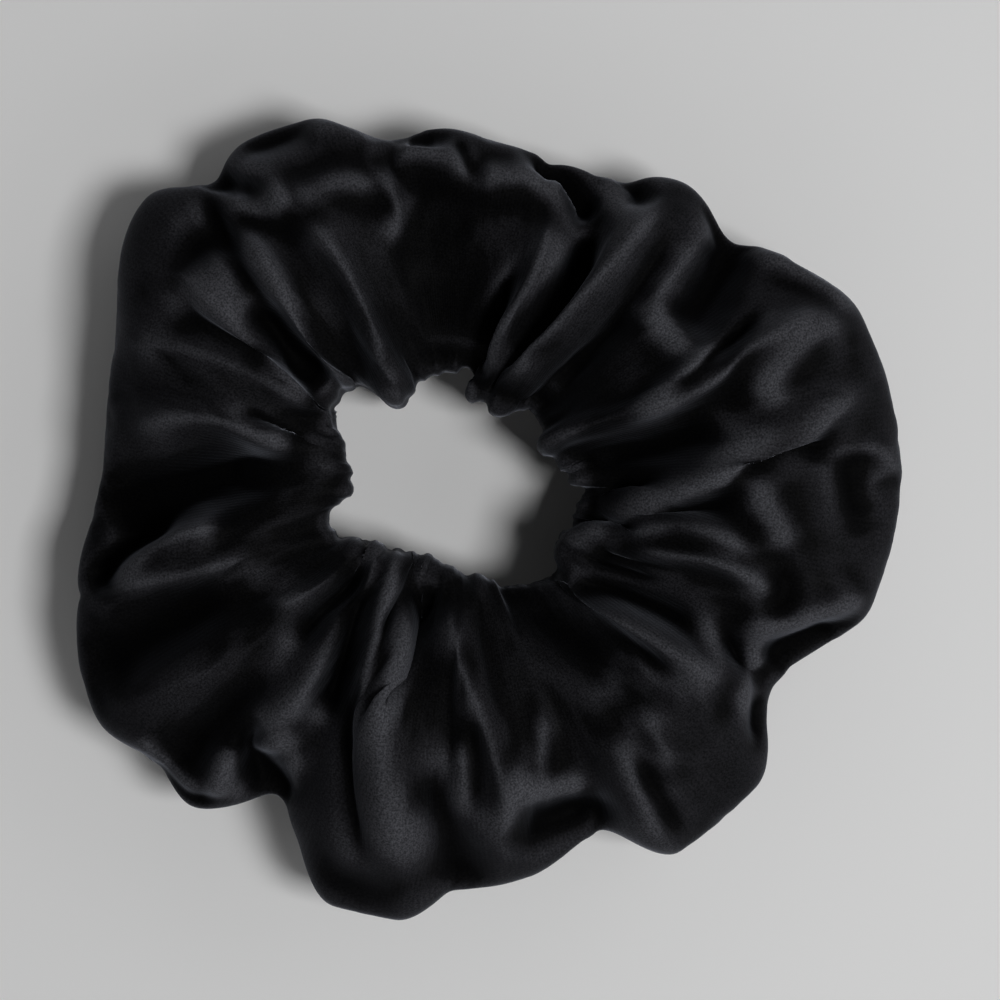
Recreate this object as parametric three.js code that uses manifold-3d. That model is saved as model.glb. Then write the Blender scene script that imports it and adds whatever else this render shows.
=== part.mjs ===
// A gathered satin hair scrunchie lying flat: a puffed fabric tube closed into
// a ring round a woven elastic band, with the threads that sew both together.
// Millimetres, +Z up, standing on z = 0 with the middle of its box on the Z axis.

import * as THREE from 'three';
import { LoftGeometry } from 'three/addons/geometries/LoftGeometry.js';
import { mergeVertices } from 'three/addons/utils/BufferGeometryUtils.js';
import Module from 'manifold-3d';

const wasm = await Module();
wasm.setup();

// ---- driving dimensions -------------------------------------------------

// The hair opening is off the middle of the box, because the puffs on the
// right and at the front reach further than the others.
const OPENING = new THREE.Vector2(-4.47, 5.638);

// How far the cover reaches from the opening's centre, as [degrees from +X,
// mm]: one entry for each puff's tip and each tuck between two puffs.
const RIM = [
  [2, 64.5], [22, 63.2], [33, 58], [43, 53.3], [51, 54.2], [66, 48.6], [80, 49.1],
  [94, 51.2], [101, 50.4], [113, 56.7], [122, 58.1], [129, 56.2], [138, 60.8], [160, 53.2],
  [176, 51.6], [195, 57.2], [214, 63], [223, 60.6], [230, 61.4], [241, 53.8], [254, 64.6],
  [262, 64.6], [270, 60], [280, 58.8], [292, 55.4], [301, 62.9], [314, 62.3], [327, 55.2],
  [343, 63],
];

// The gathered edge round the opening, in the same form.
const MOUTH = [
  [4, 17.3], [20, 14.1], [44, 14.8], [60, 11.8], [76, 12.5], [86, 15.6], [111, 15.4],
  [126, 14.1], [138, 21.2], [148, 21], [170, 16.7], [182, 16.2], [201, 19.3], [221, 16],
  [232, 14], [243, 13.5], [262, 12.9], [283, 14.6], [304, 17.9], [315, 20.1],
  [326, 18.2], [350, 18.3],
];

// The tube's cross-section.
const RING_HEIGHT = 22.5; // where the rim's reach is AVERAGE_REACH
const AVERAGE_REACH = 57;
const RISE_PER_REACH = 0.3; // a puff that reaches further also stands taller
const MIDDLE_HEIGHT = 11; // level of the gathered edge and of the elastic
const UNDERSIDE_DROP = 12.5; // pressed flat where it would pass below z = 0
const EDGE_FULLNESS = 0.75; // height of the gathered edge, as a share of the puff's
const EDGE_FULLNESS_BELOW = 0.6; // the same for the underside, which rises more
const ROUNDNESS = 0.65; // 1 is an ellipse, less is fuller

// The cloth is gathered three to one, so its folds fill most of the tube and
// leave a flat channel for the elastic.
const CHANNEL_WIDTH = 20;
const CHANNEL_HALF_HEIGHT = 3.7;
const CHANNEL_CORNER = 1;

// The elastic: a flat woven band in an oval loop, its ends overlapped.
const BAND_LONG_RADIUS = 25;
const BAND_SHORT_RADIUS = 21.5;
const BAND_TILT = 150; // degrees from +X to the long axis
const BAND_WIDTH = 6;
const BAND_THICKNESS = 1;
const OVERLAP_START = 168; // degrees
const OVERLAP_SWEEP = 24; // degrees, about 10 mm of band
const LAYER_PITCH = 1.4; // from one layer to the next in the overlap

// The long seam: two turned-in cloth edges that face each other.
const SEAM_OFFSET = 5; // outward from the elastic
const ALLOWANCE_THICKNESS = 1;
const ALLOWANCE_HEIGHT = 3;

// Sewing thread.
const THREAD_RADIUS = 0.3;
const CLEARANCE = 0.35; // left between any two pieces
const SEAM_STITCHES = 28;
const JOIN_STITCHES = 7;
const CLOSING_STITCHES = 9;
const CLOSING_START = 196; // degrees, where the tube was left open for the elastic
const CLOSING_SWEEP = 26;
const STITCH_BITE = 1.4; // how far a closing stitch reaches to each side of the seam

// The cover divides on the plane through the opening that faces X.
const HALF_STEPS = 36; // sections along each half
const SKIN_STEPS = 22; // facets round the puff

const satin = new THREE.MeshStandardMaterial({ color: 0x15161a, roughness: 0.5, metalness: 0 });
const elastic = new THREE.MeshStandardMaterial({ color: 0x1c1c1e, roughness: 0.85, metalness: 0 });
const thread = new THREE.MeshStandardMaterial({ color: 0x101012, roughness: 0.7, metalness: 0 });

// ---- the ring's shape ---------------------------------------------------

const { degToRad, euclideanModulo, lerp, smoothstep } = THREE.MathUtils;

// A value that eases from each [degrees, value] entry to the next, all round.
function around(entries, degrees) {
  const turn = euclideanModulo(degrees, 360);
  const next = entries.findIndex(([at]) => at > turn);
  const after = next === -1 ? entries[0] : entries[next];
  const before = next <= 0 ? entries[entries.length - 1] : entries[next - 1];
  const gap = euclideanModulo(after[0] - before[0], 360);
  const passed = euclideanModulo(turn - before[0], 360);
  return lerp(before[1], after[1], smoothstep(passed, 0, gap));
}

// Inner face of the elastic: an oval about the opening.
function bandRadius(degrees) {
  const angle = degToRad(degrees - BAND_TILT);
  const across = BAND_SHORT_RADIUS * Math.cos(angle);
  const along = BAND_LONG_RADIUS * Math.sin(angle);
  return (BAND_LONG_RADIUS * BAND_SHORT_RADIUS) / Math.hypot(across, along);
}

function seamRadius(degrees) {
  return bandRadius(degrees) + SEAM_OFFSET;
}

// The plane through the opening's centre at this angle holds a section: q runs
// outward from the centre and z up.
function place(degrees, [q, z], shift = 0) {
  const angle = degToRad(degrees);
  const x = OPENING.x + q * Math.cos(angle) + shift;
  return new THREE.Vector3(x, OPENING.y + q * Math.sin(angle), z);
}

// A point on the puff's skin. turn 0 is the rim, a quarter turn the crown, half
// a turn the gathered edge and three quarters the underside.
function skinPoint(degrees, turn) {
  const inner = around(MOUTH, degrees);
  const outer = around(RIM, degrees);
  const share = 0.5 + 0.5 * Math.cos(turn);
  const isAbove = Math.sin(turn) >= 0;
  const edge = isAbove ? EDGE_FULLNESS : EDGE_FULLNESS_BELOW;
  const fullness = lerp(edge, 1, smoothstep(share, 0, 0.6));
  const lift = Math.abs(Math.sin(turn)) ** ROUNDNESS * fullness;
  const crown = RING_HEIGHT + RISE_PER_REACH * (outer - AVERAGE_REACH);
  const raised = MIDDLE_HEIGHT + lift * (crown - MIDDLE_HEIGHT);
  const lowered = Math.max(0, MIDDLE_HEIGHT - lift * UNDERSIDE_DROP);
  return [lerp(inner, outer, share), isAbove ? raised : lowered];
}

// The turn at which the underside is at distance q from the opening's centre.
function undersideTurn(degrees, q) {
  const inner = around(MOUTH, degrees);
  const outer = around(RIM, degrees);
  return 2 * Math.PI - Math.acos((2 * (q - inner)) / (outer - inner) - 1);
}

// ---- the cover ----------------------------------------------------------

// One section: round the skin from the seam to the seam, up one turned-in
// edge, round the channel and down the other edge.
function coverSection(degrees, shift) {
  const seam = seamRadius(degrees);
  const gap = CLEARANCE / 2;
  const start = undersideTurn(degrees, seam + gap);
  const end = undersideTurn(degrees, seam - gap) + 2 * Math.PI;
  const outline = [];
  for (let i = 0; i <= SKIN_STEPS; i += 1) {
    outline.push(skinPoint(degrees, lerp(start, end, i / SKIN_STEPS)));
  }

  const floor = MIDDLE_HEIGHT - CHANNEL_HALF_HEIGHT;
  const roof = MIDDLE_HEIGHT + CHANNEL_HALF_HEIGHT;
  const near = bandRadius(degrees) - CLEARANCE - 2 * THREAD_RADIUS - CLEARANCE;
  const far = near + CHANNEL_WIDTH;
  const edgeTop = floor + ALLOWANCE_HEIGHT;
  const edgeBack = gap + ALLOWANCE_THICKNESS;
  outline.push([seam - gap, edgeTop], [seam - edgeBack, edgeTop], [seam - edgeBack, floor]);
  outline.push([near + CHANNEL_CORNER, floor], [near, floor + CHANNEL_CORNER]);
  outline.push([near, roof - CHANNEL_CORNER], [near + CHANNEL_CORNER, roof]);
  outline.push([far - CHANNEL_CORNER, roof], [far, roof - CHANNEL_CORNER]);
  outline.push([far, floor + CHANNEL_CORNER], [far - CHANNEL_CORNER, floor]);
  outline.push([seam + edgeBack, floor], [seam + edgeBack, edgeTop], [seam + gap, edgeTop]);
  return outline.reverse().map((point) => place(degrees, point, shift));
}

// Half of the ring, from one angle through 180 degrees. Both ends draw back from
// the dividing plane by half a clearance.
function coverHalf(startDegrees, drawBack) {
  const sections = [];
  for (let i = 0; i <= HALF_STEPS; i += 1) {
    const isEnd = i === 0 || i === HALF_STEPS;
    const degrees = startDegrees + (180 * i) / HALF_STEPS;
    sections.push(coverSection(degrees, isEnd ? drawBack : 0));
  }
  return new LoftGeometry(sections, { capStart: true, capEnd: true });
}

// ---- thread -------------------------------------------------------------

// A thread through the given points, with a six-sided section mitred at each.
function threadThrough(points, radius) {
  const sides = 6;
  const sections = points.map((point, i) => {
    const before = points[Math.max(0, i - 1)];
    const after = points[Math.min(points.length - 1, i + 1)];
    const into = point.clone().sub(before).normalize();
    const out = after.clone().sub(point).normalize();
    const along = into.clone().add(out).normalize();
    const cornerStretch = Math.max(0.5, along.dot(i === 0 ? out : into));
    const towardsCorner = into.clone().sub(out);
    const hasCorner = i > 0 && i < points.length - 1 && towardsCorner.length() > 0.01;
    return { point, along, cornerStretch, corner: hasCorner ? towardsCorner.normalize() : null };
  });

  // The section's own axes are carried along the thread, so it never twists.
  let axis = new THREE.Vector3(0.3, 0.2, 1);
  const rings = sections.map(({ point, along, cornerStretch, corner }) => {
    axis = axis.clone().addScaledVector(along, -axis.dot(along)).normalize();
    const side = new THREE.Vector3().crossVectors(along, axis);
    const ring = [];
    for (let k = 0; k < sides; k += 1) {
      const angle = (2 * Math.PI * k) / sides;
      const spoke = axis.clone().multiplyScalar(Math.cos(angle) * radius);
      spoke.addScaledVector(side, Math.sin(angle) * radius);
      if (corner) {
        spoke.addScaledVector(corner, spoke.dot(corner) * (1 / cornerStretch - 1));
      }
      ring.push(spoke.add(point));
    }
    return ring;
  });
  return new LoftGeometry(rings, { capStart: true, capEnd: true });
}

// Overlock thread of the long seam: it wraps the two cloth edges together,
// up one side, over the top and down the other, then on to the next stitch.
function tubeSeamPath() {
  const stitch = 360 / (SEAM_STITCHES + 0.5);
  const reach = CLEARANCE / 2 + ALLOWANCE_THICKNESS + CLEARANCE + THREAD_RADIUS;
  const floor = MIDDLE_HEIGHT - CHANNEL_HALF_HEIGHT;
  const low = floor + CLEARANCE + THREAD_RADIUS;
  const high = floor + ALLOWANCE_HEIGHT + CLEARANCE + THREAD_RADIUS;
  const points = [];
  for (let i = 0; i < SEAM_STITCHES; i += 1) {
    const degrees = OVERLAP_START + OVERLAP_SWEEP + i * stitch;
    const side = i % 2 === 0 ? -1 : 1;
    const seam = seamRadius(degrees);
    points.push(place(degrees, [seam + side * reach, low]));
    points.push(place(degrees, [seam + side * reach, high]));
    points.push(place(degrees, [seam - side * reach, high]));
    points.push(place(degrees, [seam - side * reach, low]));
  }
  return points;
}

// Zigzag that sews the elastic's two ends together, through both layers.
function joinPath() {
  const rowHalf = BAND_WIDTH / 2 - 1.2;
  const step = (OVERLAP_SWEEP - 10) / (JOIN_STITCHES - 1);
  const points = [];
  for (let i = 0; i < JOIN_STITCHES; i += 1) {
    const degrees = OVERLAP_START + 5 + i * step;
    const z = MIDDLE_HEIGHT + (i % 2 === 0 ? rowHalf : -rowHalf);
    const face = CLEARANCE + THREAD_RADIUS;
    const inside = bandRadius(degrees) - face;
    const outside = bandRadius(degrees) + LAYER_PITCH + BAND_THICKNESS + face;
    const pass = [place(degrees, [outside, z]), place(degrees, [inside, z])];
    points.push(...(i % 2 === 0 ? pass : pass.reverse()));
  }
  return points;
}

// Hand stitches that close the last stretch of the long seam, zigzag across it
// on the underside.
function closingPath() {
  const points = [];
  for (let i = 0; i <= CLOSING_STITCHES; i += 1) {
    const degrees = CLOSING_START + (CLOSING_SWEEP * i) / CLOSING_STITCHES;
    const q = seamRadius(degrees) + (i % 2 === 0 ? STITCH_BITE : -STITCH_BITE);
    const [, z] = skinPoint(degrees, undersideTurn(degrees, q));
    points.push(place(degrees, [q, z - CLEARANCE - 2 * THREAD_RADIUS]));
  }
  return points;
}

// ---- the elastic --------------------------------------------------------

// The band runs once round and on over its own start, one layer further out.
function bandGeometry() {
  const steps = 76;
  const sweep = 360 + OVERLAP_SWEEP;
  const sections = [];
  for (let i = 0; i <= steps; i += 1) {
    const passed = (sweep * i) / steps;
    const degrees = OVERLAP_START + passed;
    const inner = bandRadius(degrees) + LAYER_PITCH * smoothstep(passed, 330, 356);
    const outer = inner + BAND_THICKNESS;
    const low = MIDDLE_HEIGHT - BAND_WIDTH / 2;
    const high = MIDDLE_HEIGHT + BAND_WIDTH / 2;
    const corners = [[inner, low], [inner, high], [outer, high], [outer, low]];
    sections.push(corners.map((corner) => place(degrees, corner)));
  }
  return new LoftGeometry(sections, { capStart: true, capEnd: true });
}

// ---- solids -------------------------------------------------------------

function solidOf(geometry) {
  const bare = new THREE.BufferGeometry();
  bare.setAttribute('position', geometry.attributes.position);
  bare.setIndex(geometry.index);
  const merged = mergeVertices(bare, 1e-5);
  const vertProperties = new Float32Array(merged.attributes.position.array);
  const triVerts = new Uint32Array(merged.index.array);
  return new wasm.Manifold(new wasm.Mesh({ numProp: 3, vertProperties, triVerts }));
}

function geometryOf(solid) {
  const { vertProperties, triVerts } = solid.getMesh();
  const geometry = new THREE.BufferGeometry();
  geometry.setAttribute('position', new THREE.BufferAttribute(vertProperties, 3));
  geometry.setIndex(new THREE.BufferAttribute(triVerts, 1));
  geometry.computeVertexNormals();
  return geometry;
}

function sewnBand() {
  const needleHoles = solidOf(threadThrough(joinPath(), THREAD_RADIUS + CLEARANCE));
  return geometryOf(solidOf(bandGeometry()).subtract(needleHoles));
}

// ---- the scrunchie ------------------------------------------------------

const scrunchie = new THREE.Group();

function add(name, geometry, material) {
  const mesh = new THREE.Mesh(geometry, material);
  mesh.name = name;
  scrunchie.add(mesh);
}

add('cover_right', coverHalf(-90, CLEARANCE / 2), satin);
add('cover_left', coverHalf(90, -CLEARANCE / 2), satin);
add('elastic_band', sewnBand(), elastic);
add('elastic_join_stitches', threadThrough(joinPath(), THREAD_RADIUS), thread);
add('tube_seam_thread', threadThrough(tubeSeamPath(), THREAD_RADIUS), thread);
add('closing_seam_thread', threadThrough(closingPath(), THREAD_RADIUS), thread);

export default scrunchie;
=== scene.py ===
# A black satin hair scrunchie lying on a pale floor, seen from straight above.
# Lengths are in millimetres up to the last step, which writes metres.
import math

import bpy
import numpy as np
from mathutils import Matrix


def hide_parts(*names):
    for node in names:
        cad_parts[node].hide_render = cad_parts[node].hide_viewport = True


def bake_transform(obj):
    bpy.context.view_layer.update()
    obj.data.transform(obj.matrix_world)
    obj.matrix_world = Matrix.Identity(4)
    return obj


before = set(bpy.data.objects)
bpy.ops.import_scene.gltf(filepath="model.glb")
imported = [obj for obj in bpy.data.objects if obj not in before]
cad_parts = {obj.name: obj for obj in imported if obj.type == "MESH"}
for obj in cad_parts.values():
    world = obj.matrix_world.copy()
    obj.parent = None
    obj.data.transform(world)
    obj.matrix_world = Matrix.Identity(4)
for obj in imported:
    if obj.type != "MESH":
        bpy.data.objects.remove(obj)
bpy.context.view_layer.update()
MM = 0.001
rng = np.random.default_rng(7)

# ---- camera -----------------------------------------------------------------

VIEW_CENTRE = (1.75, 2.6)
VIEW_WIDTH = 146.3  # what the picture's width spans at the height of the rims
RIM_LEVEL = 9.0
LENS = 100.0
SENSOR = 36.0
NEAREST = 0.01  # metres


def add_camera():
    """Looks straight down on the ring."""
    data = bpy.data.cameras.new("camera")
    data.lens = LENS
    data.sensor_width = SENSOR
    data.clip_start = NEAREST
    camera = bpy.data.objects.new("camera", data)
    height = RIM_LEVEL + VIEW_WIDTH * LENS / SENSOR
    camera.location = (VIEW_CENTRE[0] * MM, VIEW_CENTRE[1] * MM, height * MM)
    bpy.context.scene.collection.objects.link(camera)
    bpy.context.scene.camera = camera


add_camera()

# ---- the ring's outline -----------------------------------------------------

OPENING = np.array([-4.47, 5.638])  # centre of the hair opening

# How far the cover reaches from there, as (degrees from +X, mm): one entry for each
# puff's tip and each tuck between two puffs, as in the part's own outline.
RIM = [
    (2, 64.5), (22, 63.2), (33, 58), (43, 53.3), (51, 54.2), (66, 48.6), (80, 49.1),
    (94, 51.2), (101, 50.4), (113, 56.7), (122, 58.1), (129, 56.2), (138, 60.8), (160, 53.2),
    (176, 51.6), (195, 57.2), (214, 63), (223, 60.6), (230, 61.4), (241, 53.8), (254, 64.6),
    (262, 64.6), (270, 60), (280, 58.8), (292, 55.4), (301, 62.9), (314, 62.3), (327, 55.2),
    (343, 63),
]
MOUTH = [
    (4, 17.3), (20, 14.1), (44, 14.8), (60, 11.8), (76, 12.5), (86, 15.6), (111, 15.4),
    (126, 14.1), (138, 21.2), (148, 21), (170, 16.7), (182, 16.2), (201, 19.3), (221, 16),
    (232, 14), (243, 13.5), (262, 12.9), (283, 14.6), (304, 17.9), (315, 20.1),
    (326, 18.2), (350, 18.3),
]


def smooth(x):
    """An eased step from 0 to 1."""
    x = np.clip(x, 0.0, 1.0)
    return x * x * (3 - 2 * x)


def around(entries, degrees):
    """A smooth curve through (degrees, value) entries, level at each tip and tuck."""
    table = np.array(entries, float)
    at = np.r_[table[-2:, 0] - 360, table[:, 0], table[:2, 0] + 360]
    value = np.r_[table[-2:, 1], table[:, 1], table[:2, 1]]
    rate = np.diff(value) / np.diff(at)
    product = rate[:-1] * rate[1:]
    slope = np.zeros(len(at))
    on_the_way = product > 0
    slope[1:-1][on_the_way] = 2 * product[on_the_way] / (rate[:-1] + rate[1:])[on_the_way]
    turn = np.mod(degrees, 360.0)
    k = np.searchsorted(at, turn, side="right") - 1
    gap = at[k + 1] - at[k]
    x = (turn - at[k]) / gap
    eased = value[k] + (value[k + 1] - value[k]) * smooth(x)
    return eased + gap * x * (1 - x) * (slope[k] * (1 - x) - slope[k + 1] * x)


def plan(degrees, share):
    """Plan point at an angle, a share of the way from the mouth to the rim."""
    inner, outer = around(MOUTH, degrees), around(RIM, degrees)
    reach = inner + (outer - inner) * share
    angle = np.radians(degrees)
    return np.stack([reach * np.cos(angle), reach * np.sin(angle)], -1)


# ---- the cover's folds ------------------------------------------------------

# Each fold has two ends, as (degrees, share of the way from mouth to rim), and a bow:
# how many degrees its middle is off the straight line. Then its height, below nought
# for a crease, and its width at each end.
FOLDS = [
    # back left: crests that fan out from the mouth, with creases between them
    ((155, 0), (147, 0.9), -7, 4, 1.5, 4.5),
    ((141, 0), (131, 0.8), -2, 4.8, 1.8, 3),
    ((147, 0.05), (139, 0.45), 0, -5.5, 1.4, 2.4),
    ((138, 0.4), (131, 0.95), 0, -2.4, 0.9, 0.9),
    ((126, 0), (121, 0.7), -5, 4.2, 1.4, 2.8),
    ((121, 0.7), (125, 0.95), 0, 2.6, 2, 2.6),
    ((121, 0.7), (130, 0.9), 1, 2.4, 1.6, 1.4),
    ((121, 0.7), (105, 0.75), 0, 2.2, 1.8, 1.6),
    ((106, 0.85), (108, 0.5), -4, 2.2, 1.8, 1.6),
    ((129, 1), (124, 0.8), 0, -2.8, 1.8, 1.8),
    ((121, 0.95), (115, 0.95), 0, -2.2, 2.4, 2.4),
    ((113, 0.95), (105, 0.95), 0, 1.6, 2.4, 2.4),
    ((143, 0.7), (136, 0.7), 0, -2.4, 3, 3),
    # left: the broad puff, its ridge and the deep fold below it
    ((155, 0.05), (160, 1), -4, 3, 2.2, 5),
    ((148, 0.25), (148, 0.7), 0, -1.8, 2, 2.6),
    ((169, 0.15), (173, 0.9), -5, 3.4, 1.5, 3),
    ((166, 0.15), (162, 0.4), 0, -2.4, 0.9, 0.9),
    ((176, 0.25), (187, 0.95), 0, -8.5, 3.2, 5),
    ((182, 0.35), (188, 0.85), -2, 1.8, 1.6, 1.6),
    ((188, 0.65), (198, 0.95), -1, -5.5, 1.8, 2.2),
    ((192, 0.4), (198, 0.9), -3, 3.8, 1.8, 2.2),
    ((201, 0.25), (197, 0.85), 0, 1.9, 1.5, 1.8),
    # front left: broad panels, the rim's turned edge and the tucked pocket
    ((208, 0.4), (210, 0.95), -2, -4.5, 4.5, 5.5),
    ((219, 0.45), (214, 0.9), 0, 1.2, 4, 5),
    ((226, 0.6), (225, 0.9), 0, -2.6, 3.5, 4),
    ((218, 0.95), (232, 0.95), 0, 1.8, 1.3, 1.3),
    ((222, 1), (234, 0.95), 0, -2.2, 1, 1),
    ((230, 0.75), (233, 0.95), 0, 2.2, 1.5, 1.5),
    ((230, 0.7), (238, 0.75), 0, 2, 1.2, 1.2),
    ((233, 0.75), (240, 0.95), 0, -7, 2.6, 3),
    ((238, 0.8), (244, 1), 0, 3, 2, 2),
    # front left: the narrow pleats beside the mouth
    ((215, 0), (212, 0.35), 5, 2, 1.3, 2.4),
    ((223, 0.05), (226, 0.4), 0, -3.2, 1.3, 2),
    ((224, 0), (231, 0.7), 7, 3.2, 1.2, 2.8),
    ((229, 0.1), (241, 0.65), 2, -4.6, 1.3, 2.8),
    ((231, 0), (252, 0.55), 2, 3.6, 1.1, 1.5),
    ((241, 0.15), (251, 0.5), 0, -3.8, 0.8, 0.9),
    ((245, 0.1), (264, 0.9), 0, 4.8, 1.3, 7),
    ((254, 0.05), (253, 0.35), 0, -6.5, 2.2, 1),
    # front: long ridges, the hollow and the pocket at the rim
    ((247, 0.5), (257, 0.8), 0, -1.6, 1.8, 2),
    ((250, 0.9), (259, 0.9), 0, -1, 3.2, 3.2),
    ((261, 0.05), (275, 1), 9, 4.2, 2.2, 4.5),
    ((271, 0.5), (271, 0.75), 1, 1.6, 1.5, 1.5),
    ((274, 0.45), (272, 0.75), 1, -1.2, 1.4, 1.4),
    ((266, 0.65), (270, 0.9), 0, -2.4, 3, 4.6),
    ((290, 0.5), (285, 0.7), 0, 1.4, 1.7, 1.7),
    ((283, 0.6), (277, 0.8), 0, 2, 1.7, 2),
    ((281, 0.7), (294, 0.8), 0, 2.4, 1.3, 1.3),
    ((281, 0.8), (293, 0.9), -1, -3.2, 3.2, 2.6),
    ((301, 0.6), (299, 0.95), 0, 2.2, 2.4, 4.5),
    ((303, 0.65), (302, 0.95), 0, -1.5, 1.2, 1.6),
    ((309, 0.5), (306, 0.75), 0, 1.5, 2.2, 2.2),
    # front right: the big ridge, the pleats above it and the pocket under the rim
    ((314, 0), (321, 0.8), 2, 4.8, 2, 5.5),
    ((315, 0.25), (318, 0.5), 0, -1.8, 1, 1),
    ((297, 0), (313, 0.35), 0, -1.6, 3, 4),
    ((316, 0.05), (326, 0.65), 5, -3.2, 1.7, 2.2),
    ((331, 0), (344, 0.6), 9, 3.2, 1.5, 2.2),
    ((336, 0.2), (338, 0.7), 5, 2.8, 1.3, 1.6),
    ((334, 0.1), (338, 0.35), 0, -1.8, 0.9, 0.9),
    ((329, 0.1), (334, 0.35), 0, -1.6, 0.9, 0.9),
    ((341, 0), (344, 0.15), 0, -5, 1.7, 1.5),
    ((352, 0), (358, 0.2), 0, -5.5, 1.9, 1.5),
    ((350, 0.25), (356, 0.45), 0, -1.8, 2.2, 2.2),
    ((359, 0.5), (347, 0.65), 0, 2.4, 2.4, 2.4),
    ((364, 0.8), (354, 0.85), 0, -1.4, 2.2, 2.8),
    ((332, 0.7), (345, 0.95), 0, 3.4, 1.8, 2.2),
    ((331, 0.85), (320, 0.85), 0, 2.6, 1.5, 1.5),
    ((330, 0.7), (326, 0.85), 0, -2.8, 1.6, 1.6),
    ((345, 0.65), (336, 0.75), 0, -1.6, 1.6, 2),
    ((329, 0.9), (339, 0.95), 1, -4.6, 2.6, 3),
    ((325, 0.95), (319, 0.95), 0, -3, 1.5, 1.5),
    # right
    ((350, 0.05), (374, 0.95), 1, 4.4, 1.5, 3.6),
    ((6, 0), (12, 0.5), 0, -2.6, 3, 3.2),
    ((0, 0.45), (5, 0.8), 3, -3.2, 1.8, 2.6),
    ((3, 0.75), (-1, 1), 3, 1.4, 2, 2),
    ((12, 0.55), (21, 0.95), 4, 3, 2.8, 3.6),
    # back right: a pair of crests with a crease between, the hollow and the big ridge
    ((23, 0), (29, 0.65), -4, 3.4, 1.7, 2),
    ((21, 0.35), (29, 0.75), 0, -3.4, 0.9, 0.9),
    ((18, 0.2), (24, 0.95), 2, 3.2, 1.3, 2.8),
    ((39, 0.95), (21, 0.95), 0, 2, 1.8, 1.8),
    ((41, 0.95), (35, 0.65), 0, -5.2, 4, 4),
    ((45, 1), (42, 0.55), 0, 3, 3, 2.2),
    ((42, 0.55), (28, 0.5), 0, 2.6, 2.2, 1.8),
    ((45, 0), (53, 0.9), -4, -2.4, 2.4, 2.6),
    ((69, 0.05), (55, 0.95), -7, 5.4, 2, 4.2),
    ((61, 1), (57, 0.9), 0, -4, 2, 2),
    ((64, 1), (57, 0.9), 0, 1.8, 1.2, 1.2),
    # back: the smooth panel, which sags a little, its crumpled edge, and the pleats and
    # the black gap beside it
    ((94, 0.1), (93, 0.7), 0, -1.8, 6, 8),
    ((71, 0.05), (62, 0.8), -4, -7, 1.2, 1.7),
    ((72, 0.05), (64, 0.75), -3, 3.4, 1, 1.6),
    ((76, 0.05), (70, 0.8), -3, 3.8, 1.2, 2.6),
    ((81, 0), (74, 0.5), -1, -5.2, 1.4, 1),
    ((77, 1), (62, 0.8), 0, -7, 2, 2),
    ((74, 0.9), (64, 0.8), 0, 3.2, 1.5, 1.5),
    ((101, 0.95), (86, 0.8), 0, 3, 2.4, 2.2),
    ((86, 0.8), (73, 0.9), 0, 3, 2.2, 2),
    ((99, 1), (93, 0.95), 0, -3.2, 1.5, 1.5),
    ((90, 0.95), (86, 0.8), 0, -1.6, 0.8, 0.8),
]

HEIGHT, START_WIDTH = 3, 4  # places in a fold

# ---- the cover's surface ----------------------------------------------------

# The cover is one strip of cloth, sewn into a tube. "across" runs round the tube
# at each angle: 0 at the mouth, 1 at the rim, then back underneath to the seam,
# which lies a little way out from the mouth.
ROWS = 800  # round the ring
COLUMNS = 113  # from seam to seam
CROWN_LEVEL = 20.0
MIDDLE_LEVEL = 11.0
UNDERSIDE_DROP = 10.9
FLOOR_GAP = 0.05
AVERAGE_REACH = 57.0
RISE_PER_REACH = 0.2  # a puff that reaches further also stands taller

# The elastic: an oval loop about the opening.
BAND_LONG_RADIUS = 25.0
BAND_SHORT_RADIUS = 21.5
BAND_TILT = 150.0  # degrees from +X to its long axis
BAND_THICKNESS = 1.0
SEAM_OFFSET = 5.0  # outward from the elastic


def band_radius(degrees):
    angle = np.radians(degrees - BAND_TILT)
    span = np.hypot(BAND_SHORT_RADIUS * np.cos(angle), BAND_LONG_RADIUS * np.sin(angle))
    return BAND_LONG_RADIUS * BAND_SHORT_RADIUS / span


def seam_radius(degrees):
    return band_radius(degrees) + SEAM_OFFSET


def base_surface():
    """The puffed tube without its folds: its points and where each one lies."""
    degrees = np.arange(ROWS)[:, None] * 360.0 / ROWS
    inner, outer = around(MOUTH, degrees), around(RIM, degrees)
    seam_share = (seam_radius(degrees) - inner) / (outer - inner)
    seam_across = 1 + np.arccos(2 * seam_share - 1) / np.pi
    across = seam_across - 2 + 2 * np.linspace(0, 1, COLUMNS)[None, :]
    turn = np.pi * (1 - across)
    share = 0.5 + 0.5 * np.cos(turn)
    reach = inner + (outer - inner) * share
    crown = CROWN_LEVEL + RISE_PER_REACH * (outer - AVERAGE_REACH)
    # Full near the mouth and rounder towards the rim; lower over the mouth and the rim.
    rise = np.abs(np.sin(turn)) ** (0.62 + 0.35 * smooth(share))
    rise = rise * (0.72 + 0.28 * smooth(share / 0.45))
    rise = rise * (1 - 0.12 * smooth((share - 0.5) / 0.5))
    drop = np.abs(np.sin(turn)) ** 0.65 * (0.85 + 0.15 * smooth(share / 0.6))
    above = MIDDLE_LEVEL + rise * (crown - MIDDLE_LEVEL)
    below = MIDDLE_LEVEL - drop * UNDERSIDE_DROP
    angle = np.radians(degrees)
    height = np.where(np.sin(turn) >= 0, above, below)
    points = np.stack([reach * np.cos(angle), reach * np.sin(angle), height], -1)
    return points, across, np.broadcast_to(degrees, across.shape)


def normals_of(points):
    """The outward direction at each point of the ring-shaped grid."""
    du = np.roll(points, -1, 0) - np.roll(points, 1, 0)
    dv = np.gradient(points, axis=1)
    n = np.cross(dv, du)
    return n / np.maximum(np.linalg.norm(n, axis=-1, keepdims=True), 1e-9)


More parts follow.
